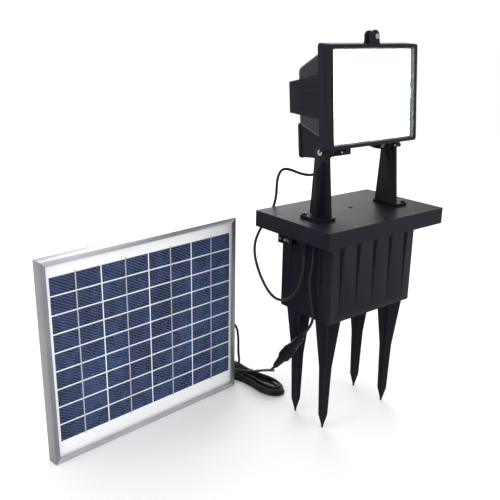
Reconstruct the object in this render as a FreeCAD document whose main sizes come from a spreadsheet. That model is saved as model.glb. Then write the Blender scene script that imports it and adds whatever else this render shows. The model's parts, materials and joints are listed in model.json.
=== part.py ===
"""Solar garden light: a floodlight on two uprights over a battery box on four ground stakes, with a
separate framed solar panel, a switch, and the leads that join them.

Millimetres, +Z up. The lamp faces -Y. The origin is on the ground, under the middle of the box that the
lamp, the battery box and the panel fill together.
"""
import FreeCAD, Part
import math
import operator
import os
from types import SimpleNamespace

import Sketcher

V = FreeCAD.Vector

# ---------------------------------------------------------------------------------------- driving sizes
CELLS = {
    # where the two groups stand
    "box_x": 163.925, "box_y": -50.46, "panel_x": -287.575, "panel_y": 78.04, "panel_yaw": 5.3,
    # battery box
    "lid_width": 251, "lid_depth": 160, "lid_height": 25, "lid_top": 345.4, "lid_wall": 3,
    "tub_width": 185.5, "tub_depth": 109, "tub_bottom": 191.7, "tub_wall": 3, "flange_thick": 4,
    "groove_pitch": 35.5, "groove_width": 12, "groove_deep": 8, "groove_end": 203,
    "lid_screw_x": 65, "lid_screw_y": 72.5, "lid_screw_end_x": 118, "lid_screw_end_y": 38,
    "lid_screw_head": 3.4, "lid_screw_shank": 1.8,
    "stake_x": 70.6, "stake_y": 32.2, "stake_thick": 3.4, "stake_wide": 20, "stake_waist": 9.8,
    "stake_waist_z": 107, "stake_thin": 7.3, "stake_point_z": 25,
    "battery_width": 151, "battery_depth": 65, "battery_height": 94,
    "board_width": 100, "board_depth": 62, "board_thick": 1.6, "standoff": 7,
    # uprights and the pivot between them
    "pivot_y": -5.5, "pivot_z": 441.5, "plate_inner": 70, "plate_thick": 5, "plate_top": 13.5,
    "plate_foot_front": -29, "plate_foot_back": 14, "rib_thick": 3.6, "rib_out": 14, "rib_y": -11.5,
    "foot_thick": 4, "foot_front": -34, "foot_back": 15, "foot_in": 2.5, "foot_out": 24,
    "pivot_screw": 3, "pivot_head": 4.4, "pivot_fit": 0.05,
    # lamp head, in its own frame with the pivot at the origin
    "lean": 5, "face_y": -37, "face_z": 76.6, "face_width": 182, "face_height": 141.5,
    "door_deep": 9, "rim_deep": 12, "rim_width": 188, "rim_height": 148, "lip": 5, "door_wall": 3,
    "glass_thick": 4, "shell_wall": 3, "back_y": 66, "back_half": 60, "back_rise": 40,
    "front_half": 90, "front_rise": 60.5, "front_lift": 3.5, "trough_half": 91.5,
    "trough_front": 30.4, "trough_back": 21.5, "trough_y": 50.5,
    "cable_box_half": 35, "cable_box_front": 46.5, "cable_box_back": 86, "cable_box_low": -16,
    "cable_box_high": 35, "gland_x": -10, "gland_y": 70,
    "ear_thick": 8, "ear_round": 10, "ear_outer": 68.5, "clasp_round": 9.5,
    "hinge_x": 55, "hinge_y": -29, "hinge_z": 0.5, "hinge_pin": 1.5, "hinge_round": 3,
    # solar panel, in its own frame with the front lower left corner at the origin
    "panel_width": 352, "panel_height": 312, "panel_deep": 20, "frame_wall": 1.6, "frame_lip": 7.5,
    "frame_flange": 18, "pane_thick": 3.2, "cell_width": 80.5, "cell_height": 26.4, "cell_gap": 2,
    "cell_shift_x": 1.6, "cell_shift_z": 3.2,
    "ribbon_width": 2, "mount_hole": 3.25, "mount_x": 90, "mount_in": 10,
    # leads and their connector
    "lead": 4.4, "hank_height": 20,
}

doc = FreeCAD.newDocument("SolarGardenLight")
sheet = doc.addObject("Spreadsheet::Sheet", "Dims")
for row, (alias, number) in enumerate(CELLS.items(), 1):
    sheet.set(f"A{row}", alias.replace("_", " "))
    sheet.set(f"B{row}", str(number))
    sheet.setAlias(f"B{row}", alias)
doc.recompute()


class Size:
    """A length held both as a number and as an expression over the sheet's cells."""

    def __init__(self, number, text):
        self.number, self.text = number, text

    def __add__(self, other):
        return combine(self, "+", other)

    def __radd__(self, other):
        return combine(other, "+", self)

    def __sub__(self, other):
        return combine(self, "-", other)

    def __rsub__(self, other):
        return combine(other, "-", self)

    def __mul__(self, other):
        return combine(self, "*", other)

    def __rmul__(self, other):
        return combine(other, "*", self)

    def __truediv__(self, other):
        return combine(self, "/", other)

    def __neg__(self):
        return combine(0, "-", self)


SIGNS = {"+": operator.add, "-": operator.sub, "*": operator.mul, "/": operator.truediv}


def sized(value):
    return value if isinstance(value, Size) else Size(float(value), f"{value:.6f}")


def combine(left, sign, right):
    left, right = sized(left), sized(right)
    return Size(SIGNS[sign](left.number, right.number), f"({left.text} {sign} {right.text})")


d = SimpleNamespace(**{alias: Size(float(number), "Dims." + alias) for alias, number in CELLS.items()})


# ------------------------------------------------------------------------------------- drawing helpers
def bind(thing, path, value):
    thing.setExpression(path, sized(value).text)


def fix_point(sketch, edge, end, x, y):
    """Ties one end of a sketch edge to the sketch's origin."""
    for kind, axis, value in (("DistanceX", -2, sized(x)), ("DistanceY", -1, sized(y))):
        if value.number == 0:
            sketch.addConstraint(Sketcher.Constraint("PointOnObject", edge, end, axis))
        else:
            index = sketch.addConstraint(Sketcher.Constraint(kind, -1, 1, edge, end, value.number))
            bind(sketch, f"Constraints[{index}]", value)


def corners(*points):
    """A closed outline of straight edges through the points."""
    def draw(sketch):
        first = sketch.GeometryCount
        at = [V(sized(x).number, sized(y).number, 0) for x, y in points]
        sketch.addGeometry([Part.LineSegment(a, b) for a, b in zip(at, at[1:] + at[:1])], False)
        for i, (x, y) in enumerate(points):
            after = first + (i + 1) % len(points)
            sketch.addConstraint(Sketcher.Constraint("Coincident", first + i, 2, after, 1))
            fix_point(sketch, first + i, 1, x, y)
    return draw


def block(x0, y0, x1, y1):
    return corners((x0, y0), (x1, y0), (x1, y1), (x0, y1))


def middle(x, y, width, height):
    """A rectangle of the given size about its middle."""
    return block(x - width / 2, y - height / 2, x + width / 2, y + height / 2)


def disc(x, y, radius):
    def draw(sketch):
        at = V(sized(x).number, sized(y).number, 0)
        edge = sketch.addGeometry(Part.Circle(at, V(0, 0, 1), sized(radius).number), False)
        index = sketch.addConstraint(Sketcher.Constraint("Radius", edge, sized(radius).number))
        bind(sketch, f"Constraints[{index}]", radius)
        fix_point(sketch, edge, 3, x, y)
    return draw


def hexagon(x, y, radius):
    turns = [math.radians(60 * i) for i in range(6)]
    return corners(*[(x + radius * math.cos(a), y + radius * math.sin(a)) for a in turns])


def sketch_at(body, plane, level, *shapes):
    """A sketch parallel to one of the body's own planes, at a level on the third axis."""
    sketch = body.newObject("Sketcher::SketchObject", body.Name + "_sketch")
    support = next(f for f in body.Origin.OriginFeatures if f.Role == plane + "_Plane")
    sketch.AttachmentSupport = [(support, "")]
    sketch.MapMode = "FlatFace"
    bind(sketch, "AttachmentOffset.Base.z", -sized(level) if plane == "XZ" else level)
    for draw in shapes:
        draw(sketch)
    return sketch


def run_out(body, kind, plane, start, end, shapes):
    """Pads or pockets a sketch from one level to another."""
    start, end = sized(start), sized(end)
    sketch = sketch_at(body, plane, start, *shapes)
    feature = body.newObject("PartDesign::" + kind, body.Name + "_" + kind.lower())
    feature.Profile = sketch
    with_normal = (end.number > start.number) != (plane == "XZ")
    feature.Reversed = with_normal == (kind == "Pocket")
    bind(feature, "Length", end - start if end.number > start.number else start - end)
    return feature


def pad(body, plane, start, end, *shapes):
    feature = run_out(body, "Pad", plane, start, end, shapes)
    doc.recompute()
    return feature


def cut(body, plane, start, end, *shapes):
    before = body.Shape.Volume
    feature = run_out(body, "Pocket", plane, start, end, shapes)
    doc.recompute()
    if not body.Shape.Volume < before - 1e-3:
        raise RuntimeError(f"{body.Label}: a pocket removed nothing")
    return feature


def loft(body, kind, plane, *sections):
    """An additive or subtractive loft between sketches, each given as (level, shape)."""
    sketches = [sketch_at(body, plane, level, shape) for level, shape in sections]
    feature = body.newObject("PartDesign::" + kind + "Loft", body.Name + "_loft")
    feature.Profile = sketches[0]
    feature.Sections = sketches[1:]
    feature.Ruled = True
    doc.recompute()
    return feature


def turned(body, *profile):
    """A solid of revolution about the body's Z axis from a half profile of (radius, height) points."""
    sketch = sketch_at(body, "XZ", 0, corners(*profile))
    feature = body.newObject("PartDesign::Revolution", body.Name + "_turned")
    feature.Profile = sketch
    feature.ReferenceAxis = (sketch, ["V_Axis"])
    doc.recompute()
    return feature


def soften(body, radius, chosen, kind="Fillet"):
    """Rounds, or chamfers, the edges of the body that the test picks."""
    base = body.Tip
    names = [f"Edge{i}" for i, edge in enumerate(base.Shape.Edges, 1) if chosen(edge)]
    feature = body.newObject("PartDesign::" + kind, body.Name + "_" + kind.lower())
    feature.Base = (base, names)
    bind(feature, "Radius" if kind == "Fillet" else "Size", radius)
    doc.recompute()
    if not names or "Invalid" in feature.State:
        raise RuntimeError(f"{body.Label}: no edge was rounded")


def stack_up(body, row, count, step):
    """Repeats a row of equal solids upwards."""
    pattern = body.newObject("PartDesign::LinearPattern", body.Name + "_rows")
    pattern.Originals = [row]
    upward = next(f for f in body.Origin.OriginFeatures if f.Role == "Z_Axis")
    pattern.Direction = (upward, [""])
    pattern.Mode = "Spacing"
    pattern.Occurrences = count
    bind(pattern, "Offset", step)
    body.Tip = pattern
    doc.recompute()


def runs_along(edge, axis, slack=0.25):
    """Whether a straight edge points along an axis, within a taper of the given slack."""
    if len(edge.Vertexes) < 2:
        return False
    way = edge.Vertexes[1].Point - edge.Vertexes[0].Point
    straight = way.Length > 0.999 * edge.Length
    return straight and abs(getattr(way, axis)) > way.Length * math.cos(slack)


# ------------------------------------------------------------------------------- the places of the groups
pieces = []


def place(thing, group):
    """Puts a piece in the battery box's frame, the lamp head's, the panel's or the connector's."""
    if group == "box":
        bind(thing, "Placement.Base.x", d.box_x)
        bind(thing, "Placement.Base.y", d.box_y)
    elif group == "head":
        thing.Placement = FreeCAD.Placement(V(), FreeCAD.Rotation(V(1, 0, 0), -1))
        bind(thing, "Placement.Base.x", d.box_x)
        bind(thing, "Placement.Base.y", d.box_y + d.pivot_y)
        bind(thing, "Placement.Base.z", d.pivot_z)
        bind(thing, "Placement.Rotation.Angle", -d.lean)
    elif group == "panel":
        thing.Placement = FreeCAD.Placement(V(), FreeCAD.Rotation(V(0, 0, 1), 1))
        bind(thing, "Placement.Base.x", d.panel_x)
        bind(thing, "Placement.Base.y", d.panel_y)
        bind(thing, "Placement.Rotation.Angle", d.panel_yaw)
    else:
        way = FreeCAD.Rotation(V(0, 0, -1), CONNECTOR_END - CONNECTOR_TOP)
        shift = V(CELLS["box_x"], CELLS["box_y"], 0)
        thing.Placement = FreeCAD.Placement(CONNECTOR_TOP + shift, way)
    pieces.append(thing)


def new_body(name, group):
    body = doc.addObject("PartDesign::Body", name)
    body.Label = name
    body.AllowCompound = True
    place(body, group)
    return body


def screws(name, group, plane, centres, face, head_top, tip, head, shank, drive):
    """Equal screws: a round head on the face, a shank below it and a hexagon socket in the head."""
    body = new_body(name, group)
    pad(body, plane, face, head_top, *[disc(x, y, head) for x, y in centres])
    pad(body, plane, face, tip, *[disc(x, y, shank) for x, y in centres])
    depth = (sized(head_top) - face) * 0.6
    cut(body, plane, head_top, head_top - depth, *[hexagon(x, y, drive) for x, y in centres])
    return body


def mirrored_pairs(x, y):
    return [(x, y), (-x, y), (x, -y), (-x, -y)]


# ------------------------------------------------------------------------------------------ battery box
lid_base = d.lid_top - d.lid_height
flange_top = lid_base + d.flange_thick
LID_SCREWS = [(i * d.lid_screw_x, j * d.lid_screw_y) for j in (-1, 1) for i in (-1, 0, 1)]
LID_SCREWS += [(i * d.lid_screw_end_x, j * d.lid_screw_end_y) for j in (-1, 1) for i in (-1, 1)]
STANDOFFS = mirrored_pairs(d.board_width / 2 - 5, d.board_depth / 2 - 5)
lid_under = d.lid_top - d.lid_wall

lid = new_body("lid", "box")
pad(lid, "XY", lid_base, d.lid_top, middle(0, 0, d.lid_width, d.lid_depth))
soften(lid, 1.5, lambda e: runs_along(e, "z"))
inner_width, inner_depth = d.lid_width - 2 * d.lid_wall, d.lid_depth - 2 * d.lid_wall
cut(lid, "XY", lid_base, lid_under, middle(0, 0, inner_width, inner_depth))
pad(lid, "XY", flange_top + 1, lid_under + 0.5, *[disc(x, y, 3.6) for x, y in LID_SCREWS])
pad(lid, "XY", lid_under + 0.5, lid_under - d.standoff, *[disc(x, y, 3) for x, y in STANDOFFS])
cut(lid, "XY", d.lid_top, d.lid_top - 1.6, *[disc(x, y, d.lid_screw_head + 0.5) for x, y in LID_SCREWS])
cut(lid, "XY", d.lid_top, flange_top, *[disc(x, y, d.lid_screw_shank + 0.2) for x, y in LID_SCREWS])
cut(lid, "XY", d.lid_top, d.lid_top - 1.2, disc(5, 5, 4))

lid_screws = screws("lid_screws", "box", "XY", LID_SCREWS, d.lid_top - 1.6, d.lid_top - 0.2,
                    flange_top - 3, d.lid_screw_head, d.lid_screw_shank, 1.3)

lid_gasket = new_body("lid_gasket", "box")
pad(lid_gasket, "XY", flange_top, flange_top + 1, middle(0, 0, inner_width - 4, inner_depth - 4))
cut(lid_gasket, "XY", flange_top, flange_top + 1, middle(0, 0, d.tub_width - 4, d.tub_depth - 4))
cut(lid_gasket, "XY", flange_top, flange_top + 1,
    *[disc(x, y, d.lid_screw_shank + 0.2) for x, y in LID_SCREWS])

LAMP_GLAND, PANEL_GLAND = (-105, -10.5), (-100, -24)


def tub_grooves():
    """The middle of each groove's mouth on the tub wall and the direction into the wall."""
    front = [(i * d.groove_pitch, j * d.tub_depth / 2, 0, -j) for i in range(-2, 3) for j in (-1, 1)]
    ends = [(j * d.tub_width / 2, i * d.groove_pitch * 0.92, -j, 0) for i in (-1, 0, 1) for j in (-1, 1)]
    return front + ends


def notch(x, y, into_x, into_y, half, deep):
    """A triangle with its base on the wall and its point inside it."""
    side_x, side_y = abs(into_y) * half, abs(into_x) * half
    out_x, out_y = x - 1 * into_x, y - 1 * into_y
    return corners((out_x - side_x, out_y - side_y), (out_x + side_x, out_y + side_y),
                   (x + into_x * deep, y + into_y * deep))


def pleated_hollow():
    """The tub's inside: a rectangle with a ridge behind each groove."""
    half_x, half_y = d.tub_width / 2 - d.tub_wall, d.tub_depth / 2 - d.tub_wall
    ridge, half = d.groove_deep, d.groove_width / 2 + 2.5
    outline = [(-half_x, -half_y)]
    for i in range(-2, 3):
        x = i * d.groove_pitch
        outline += [(x - half, -half_y), (x, -half_y + ridge), (x + half, -half_y)]
    outline += [(half_x, -half_y)]
    for i in (-1, 0, 1):
        y = i * d.groove_pitch * 0.92
        outline += [(half_x, y - half), (half_x - ridge, y), (half_x, y + half)]
    outline += [(half_x, half_y)]
    for i in range(2, -3, -1):
        x = i * d.groove_pitch
        outline += [(x + half, half_y), (x, half_y - ridge), (x - half, half_y)]
    outline += [(-half_x, half_y)]
    for i in (1, 0, -1):
        y = i * d.groove_pitch * 0.92
        outline += [(-half_x, y + half), (-half_x + ridge, y), (-half_x, y - half)]
    return corners(*outline)


battery_tub = new_body("battery_tub", "box")
pad(battery_tub, "XY", d.tub_bottom, flange_top, middle(0, 0, d.tub_width, d.tub_depth))
soften(battery_tub, 4, lambda e: runs_along(e, "z"))
for x, y, into_x, into_y in tub_grooves():
    loft(battery_tub, "Subtractive", "XY",
         (lid_base, notch(x, y, into_x, into_y, d.groove_width / 2, d.groove_deep)),
         (d.groove_end, notch(x, y, into_x, into_y, 0.6, 0.3)))
pad(battery_tub, "XY", lid_base, flange_top, middle(0, 0, inner_width - 1, inner_depth - 1))
cut(battery_tub, "XY", flange_top, d.tub_bottom + d.tub_wall, pleated_hollow())
cut(battery_tub, "XY", flange_top, lid_base, *[disc(x, y, d.lid_screw_shank) for x, y in LID_SCREWS])
cut(battery_tub, "XY", flange_top, lid_base, disc(*LAMP_GLAND, 3.5), disc(*PANEL_GLAND, 3.5))
STAKES = mirrored_pairs(d.stake_x, d.stake_y)
cut(battery_tub, "XY", d.tub_bottom, d.tub_bottom + d.tub_wall, *[disc(x, y, 4) for x, y in STAKES])

for name, (x, y) in zip(("back_right", "back_left", "front_right", "front_left"), STAKES):
    stake = doc.addObject("PartDesign::Body", "stake_" + name)
    stake.Label = "stake_" + name
    blade = [(d.stake_wide, d.tub_bottom), (d.stake_waist, d.stake_waist_z), (d.stake_thin, d.stake_point_z),
             (0.6, 0)]
    outline = corners(*blade, *[(-x, z) for x, z in reversed(blade)])
    for plane in ("XZ", "YZ"):
        pad(stake, plane, -d.stake_thick / 2, d.stake_thick / 2, outline)
    pad(stake, "XY", d.tub_bottom - 4, d.tub_bottom + d.tub_wall, disc(0, 0, 4))
    stake.Placement = FreeCAD.Placement(V(), FreeCAD.Rotation(V(0, 0, 1), 45))
    bind(stake, "Placement.Base.x", d.box_x + x)
    bind(stake, "Placement.Base.y", d.box_y + y)
    pieces.append(stake)

battery_base = d.tub_bottom + d.tub_wall
battery_top = battery_base + d.battery_height
battery = new_body("battery", "box")
pad(battery, "XY", battery_base, battery_top, middle(0, 0, d.battery_width, d.battery_depth))
soften(battery, 1.5, lambda e: runs_along(e, "z"))
cut(battery, "XY", battery_top, battery_top - 4, middle(0, 0, d.battery_width - 46, d.battery_depth - 8))

battery_tabs = new_body("battery_tabs", "box")
pad(battery_tabs, "XY", battery_top, battery_top + 6.5,
    *[middle(i * (d.battery_width / 2 - 8), 12, 0.8, 4.8) for i in (-1, 1)])
pad(battery_tabs, "XY", battery_top, battery_top + 0.8,
    *[middle(i * (d.battery_width / 2 - 10), 12, 6, 7) for i in (-1, 1)])

board_top = lid_under - d.standoff
controller_board = new_body("controller_board", "box")
pad(controller_board, "XY", board_top, board_top - d.board_thick, middle(0, 0, d.board_width, d.board_depth))
cut(controller_board, "XY", board_top, board_top - d.board_thick, *[disc(x, y, 1.6) for x, y in STANDOFFS])

board_under = board_top - d.board_thick
controller_parts = new_body("controller_parts", "box")
for x, y, width, depth, tall in ((-34, 0, 12, 40, 11), (-8, 14, 19, 15, 10), (-8, -14, 19, 15, 10),
                                 (18, 16, 10, 10, 12), (18, -4, 9, 16, 4), (36, -2, 12, 34, 8)):
    pad(controller_parts, "XY", board_under, board_under - tall, middle(x, y, width, depth))


def gland(name, group, x, y, top, length, wide, bore):
    """A strain relief that hangs down from a wall: a hexagon nut and a tapered ribbed sleeve."""
    body = new_body(name, group)
    pad(body, "XY", top, top - 4, hexagon(x, y, wide))
    loft(body, "Additive", "XY", (top - 4, disc(x, y, wide * 0.8)), (top - length, disc(x, y, wide * 0.5)))
    for i in range(int((length - 8) / 5)):
        level = top - 8 - i * 5
        pad(body, "XY", level, level - 2, disc(x, y, wide * 0.78))
    pad(body, "XY", top, top + 3, disc(x, y, 3.5))
    cut(body, "XY", top + 3, top - length, disc(x, y, bore))
    return body


lamp_lead_gland = gland("lamp_lead_gland", "box", *LAMP_GLAND, lid_base, 27, 6.4, d.lead / 2)
panel_lead_gland = gland("panel_lead_gland", "box", *PANEL_GLAND, lid_base, 21, 6.4, d.lead / 2)

# the switch hangs under the flange, with its slider on the face that looks to -X
SWITCH_FACE, SWITCH_Y, SWITCH_Z = -105, 34.5, 306
switch_housing = new_body("switch_housing", "box")
pad(switch_housing, "XY", lid_base, lid_base - 22, block(SWITCH_FACE, SWITCH_Y - 15, -d.tub_width / 2 - 0.5,
                                                         SWITCH_Y + 15))
soften(switch_housing, 1.2, lambda e: runs_along(e, "x"))
cut(switch_housing, "YZ", SWITCH_FACE, SWITCH_FACE + 5, middle(SWITCH_Y, SWITCH_Z, 10.6, 4.6))
switch_screws = screws("switch_screws", "box", "YZ", [(SWITCH_Y - 9, SWITCH_Z), (SWITCH_Y + 9, SWITCH_Z)],
                       SWITCH_FACE, SWITCH_FACE - 1.4, SWITCH_FACE + 3, 2.3, 1.1, 1)
cut(switch_housing, "YZ", SWITCH_FACE, SWITCH_FACE + 3,
    *[disc(SWITCH_Y + i * 9, SWITCH_Z, 1.1) for i in (-1, 1)])
switch_slider = new_body("switch_slider", "box")
pad(switch_slider, "YZ", SWITCH_FACE - 1.8, SWITCH_FACE + 4.8, middle(SWITCH_Y - 2.5, SWITCH_Z, 5, 4))

# ----------------------------------------------------------------------------------- uprights and pivot
plate_outer = d.plate_inner + d.plate_thick
foot_top = d.lid_top + d.foot_thick
FOOT_SCREWS_Y = (-27, 8)


def mirror_x(side, *points):
    return [(side * x, y) for x, y in points]


for name, side in (("left", -1), ("right", 1)):
    upright = new_body("upright_" + name, "box")
    foot = [(d.plate_inner - d.foot_in, d.foot_front), (plate_outer + d.foot_out - 7, d.foot_front),
            (plate_outer + d.foot_out, d.foot_front + 7), (plate_outer + d.foot_out, d.foot_back - 7),
            (plate_outer + d.foot_out - 7, d.foot_back), (d.plate_inner - d.foot_in, d.foot_back)]
    pad(upright, "XY", d.lid_top, foot_top, corners(*mirror_x(side, *foot)))
    inner, outer = side * d.plate_inner, side * plate_outer
    pad(upright, "YZ", inner, outer, corners(
        (d.plate_foot_front, d.lid_top), (d.plate_foot_back, d.lid_top),
        (d.pivot_y + d.plate_top, d.pivot_z), (d.pivot_y - d.plate_top, d.pivot_z)))
    pad(upright, "YZ", inner, outer, disc(d.pivot_y, d.pivot_z, d.plate_top))
    rib_top = d.pivot_z - d.plate_top
    pad(upright, "XZ", d.rib_y, d.rib_y + d.rib_thick, corners(*mirror_x(
        side, (plate_outer - 1, d.lid_top), (plate_outer + d.rib_out, d.lid_top),
        (plate_outer + d.rib_out - 2, rib_top - 10), (plate_outer + 3, rib_top), (plate_outer - 1, rib_top))))
    cut(upright, "YZ", inner, outer, disc(d.pivot_y, d.pivot_z, d.pivot_screw))
    holes = [(side * (plate_outer + 16), y) for y in FOOT_SCREWS_Y]
    cut(upright, "XY", foot_top, d.lid_top, *[disc(x, y, 2) for x, y in holes])

foot_holes = [(i * (plate_outer + 16), y) for i in (-1, 1) for y in FOOT_SCREWS_Y]
foot_screws = screws("foot_screws", "box", "XY", foot_holes, foot_top, foot_top + 2.2, d.lid_top - 9,
                     3.8, 2, 1.8)
cut(lid, "XY", d.lid_top, lid_under, *[disc(x, y, 2) for x, y in foot_holes])

pivot_screws = new_body("pivot_screws", "box")
pivot_nuts = new_body("pivot_nuts", "box")
pivot_washers = new_body("pivot_washers", "head")
ear_inner = d.ear_outer - d.ear_thick
for side in (-1, 1):
    head_disc = disc(d.pivot_y, d.pivot_z, d.pivot_head)
    pad(pivot_screws, "YZ", side * plate_outer, side * (plate_outer + 3.3), head_disc)
    pad(pivot_screws, "YZ", side * plate_outer, side * (ear_inner - 6),
        disc(d.pivot_y, d.pivot_z, d.pivot_screw))
    cut(pivot_screws, "YZ", side * (plate_outer + 3.3), side * (plate_outer + 1.3),
        hexagon(d.pivot_y, d.pivot_z, 2.4))
    pad(pivot_nuts, "YZ", side * (ear_inner - 0.3), side * (ear_inner - 5.3),
        hexagon(d.pivot_y, d.pivot_z, 5.7))
    cut(pivot_nuts, "YZ", side * (ear_inner - 0.3), side * (ear_inner - 5.3),
        disc(d.pivot_y, d.pivot_z, d.pivot_screw))
    pad(pivot_washers, "YZ", side * (d.ear_outer + 0.05), side * (d.plate_inner - 0.05), disc(0, 0, 8))
    cut(pivot_washers, "YZ", side * (d.ear_outer + 0.05), side * (d.plate_inner - 0.05),
        disc(0, 0, d.pivot_screw + d.pivot_fit))

# -------------------------------------------------------------------------------------------- lamp head
door_back = d.face_y + d.door_deep
rim_front, rim_back = door_back + 0.8, door_back + 0.8 + d.rim_deep
mid_z = d.face_z
trough_z = mid_z + 2


def face(width, height):
    return middle(0, mid_z, width, height)


def slab(half, low, high):
    return block(-half, low, half, high)


lamp_housing = new_body("lamp_housing", "head")
loft(lamp_housing, "Additive", "XZ", (rim_back, face(d.rim_width, d.rim_height)),
     (rim_front, face(d.rim_width - 3, d.rim_height - 3.5)))
soften(lamp_housing, 5, lambda e: runs_along(e, "y"))
shell_front = rim_back - 1


def pyramid(grow):
    """The main shell's cross-sections, grown by the given amount; a hollow stops short of the round back."""
    return ((shell_front if grow.number == 0 else rim_front,
             middle(0, mid_z + d.front_lift, 2 * (d.front_half + grow), 2 * (d.front_rise + grow))),
            (d.back_y + 4 * grow, middle(0, mid_z + 1.5, 2 * (d.back_half + grow), 2 * (d.back_rise + grow))))


def trough(grow):
    """The lamp channel across the back of the head, with the slanting top and bottom of the real one."""
    return ((shell_front if grow.number == 0 else rim_front,
             middle(0, trough_z, 2 * (d.trough_half + grow), 2 * (d.trough_front + grow))),
            (d.trough_y + grow, middle(0, trough_z, 2 * (d.trough_half + grow), 2 * (d.trough_back + grow))))


def trough_end(edge):
    """Whether an edge stands upright at one end of the lamp channel's back."""
    at = edge.CenterOfMass
    return abs(at.y - d.trough_y.number) < 0.1 and abs(at.x) > d.trough_half.number - 1


nothing = sized(0)
loft(lamp_housing, "Additive", "XZ", *reversed(pyramid(nothing)))
soften(lamp_housing, 20, lambda e: e.CenterOfMass.y > d.back_y.number - 1)
soften(lamp_housing, 6, lambda e: runs_along(e, "y", 0.6) and 0 < e.CenterOfMass.y < 50)
loft(lamp_housing, "Additive", "XZ", *reversed(trough(nothing)))
soften(lamp_housing, 5, trough_end)
box_half, box_low = d.cable_box_half, d.cable_box_low
pad(lamp_housing, "XZ", d.cable_box_front, d.cable_box_back, slab(box_half, box_low, d.cable_box_high))
pad(lamp_housing, "XZ", d.cable_box_front + 2, d.cable_box_front + 12,
    slab(box_half - 3, d.cable_box_high, mid_z - 30))
for side in (-1, 1):
    inner, outer = side * ear_inner, side * d.ear_outer
    pad(lamp_housing, "YZ", inner, outer, disc(0, 0, d.ear_round))
    pad(lamp_housing, "YZ", inner, outer, corners((-d.ear_round, 0), (d.ear_round, 0), (14, 27), (-14, 23),
                                                  (-14, 8)))
    web = mirror_x(side, (ear_inner + 1, -8), (ear_inner - 10, -6), (ear_inner - 30, 1), (ear_inner - 30, 23),
                   (ear_inner + 1, 23))
    pad(lamp_housing, "XZ", 6, 10, corners(*web))
    for i in range(4):
        level = trough_z - 15 + i * 10
        pad(lamp_housing, "XZ", rim_back - 1, 25, middle(side * (d.trough_half + 0.4), level, 2, 1.8))
shell = d.shell_wall
loft(lamp_housing, "Subtractive", "XZ", *reversed(pyramid(-shell)))
loft(lamp_housing, "Subtractive", "XZ", *reversed(trough(-shell)))
cut(lamp_housing, "XZ", rim_front, rim_back - 3, face(d.rim_width - 12, d.rim_height - 12))
cut(lamp_housing, "XZ", d.cable_box_back, d.cable_box_front + 3,
    slab(box_half - 3, box_low + 3, d.cable_box_high - 3))
cut(lamp_housing, "XY", d.cable_box_high - 4, mid_z - 20, disc(0, d.cable_box_front + 7, 4))
cut(lamp_housing, "XY", box_low, box_low + 3, disc(d.gland_x, d.gland_y, 3.5))
for side in (-1, 1):
    cut(lamp_housing, "YZ", side * ear_inner, side * d.ear_outer, disc(0, 0, d.pivot_screw + d.pivot_fit))
clasp_z = mid_z + d.face_height / 2 + 10.5
rim_top, rim_low = mid_z + d.rim_height / 2, mid_z - d.rim_height / 2
clasp_half = d.clasp_round + 0.3


def clasp_ear(body, near, far, low):
    shoulder = d.clasp_round * 0.72
    pad(body, "XZ", near, far, corners((-clasp_half, low), (clasp_half, low), (shoulder, clasp_z + 4),
                                       (-shoulder, clasp_z + 4)))
    pad(body, "XZ", near, far, disc(0, clasp_z + 1, d.clasp_round * 0.86))
    cut(body, "XZ", near, far, disc(0, clasp_z, 2.6))


clasp_ear(lamp_housing, rim_front + 3.2, rim_front + 6.2, rim_top - 5)
SIDE_HINGES = (-1, 1)
for side in SIDE_HINGES:
    near, far = side * (d.hinge_x + 3), side * (d.hinge_x + 7)
    pad(lamp_housing, "YZ", near, far, disc(d.hinge_y, d.hinge_z, d.hinge_round))
    pad(lamp_housing, "YZ", near, far, corners((d.hinge_y, d.hinge_z - 3), (rim_back - 3, rim_low + 1),
                                               (rim_back - 3, rim_low + 4), (rim_front + 0.5, rim_low + 5)))
    cut(lamp_housing, "YZ", near, far, disc(d.hinge_y, d.hinge_z, d.hinge_pin))

hinge_pins = new_body("hinge_pins", "head")
for side in SIDE_HINGES:
    pad(hinge_pins, "YZ", side * (d.hinge_x - 3), side * (d.hinge_x + 7.5),
        disc(d.hinge_y, d.hinge_z, d.hinge_pin))

housing_gasket = new_body("housing_gasket", "head")
pad(housing_gasket, "XZ", door_back + 0.1, rim_front, face(d.rim_width - 6, d.rim_height - 7))
cut(housing_gasket, "XZ", door_back + 0.1, rim_front, face(d.rim_width - 12, d.rim_height - 12))

reflector_front, board_front = door_back - 1.4, d.face_y + 13
board_back, post_x, post_z = board_front + 2, 60, 60
reflector = new_body("reflector", "head")
loft(reflector, "Additive", "XZ", (board_front, face(168, 128)), (reflector_front, face(171, 130)))
loft(reflector, "Subtractive", "XZ", (board_front, face(166, 126)), (reflector_front, face(169, 128)))

led_board = new_body("led_board", "head")
pad(led_board, "XZ", board_front, board_back, face(166, 126))
BOARD_POSTS = [(x, mid_z + z) for x, z in mirrored_pairs(post_x, post_z)]
pad(led_board, "XZ", board_back, rim_back - 3, *[disc(x, z, 2.2) for x, z in BOARD_POSTS])
led_driver = new_body("led_driver", "head")
pad(led_driver, "XZ", board_back, board_back + 18, middle(0, trough_z, 70, 46))
soften(led_driver, 2, lambda e: runs_along(e, "y"))

led_emitters = new_body("led_emitters", "head")
columns, rows, pitch = 12, 9, 12.6
first_row = pad(led_emitters, "XZ", board_front, board_front - 0.9, *[
    middle(pitch * (i - (columns - 1) / 2), mid_z - pitch * (rows - 1) / 2, 3.5, 3.5)
    for i in range(columns)])
stack_up(led_emitters, first_row, rows, pitch)

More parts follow.
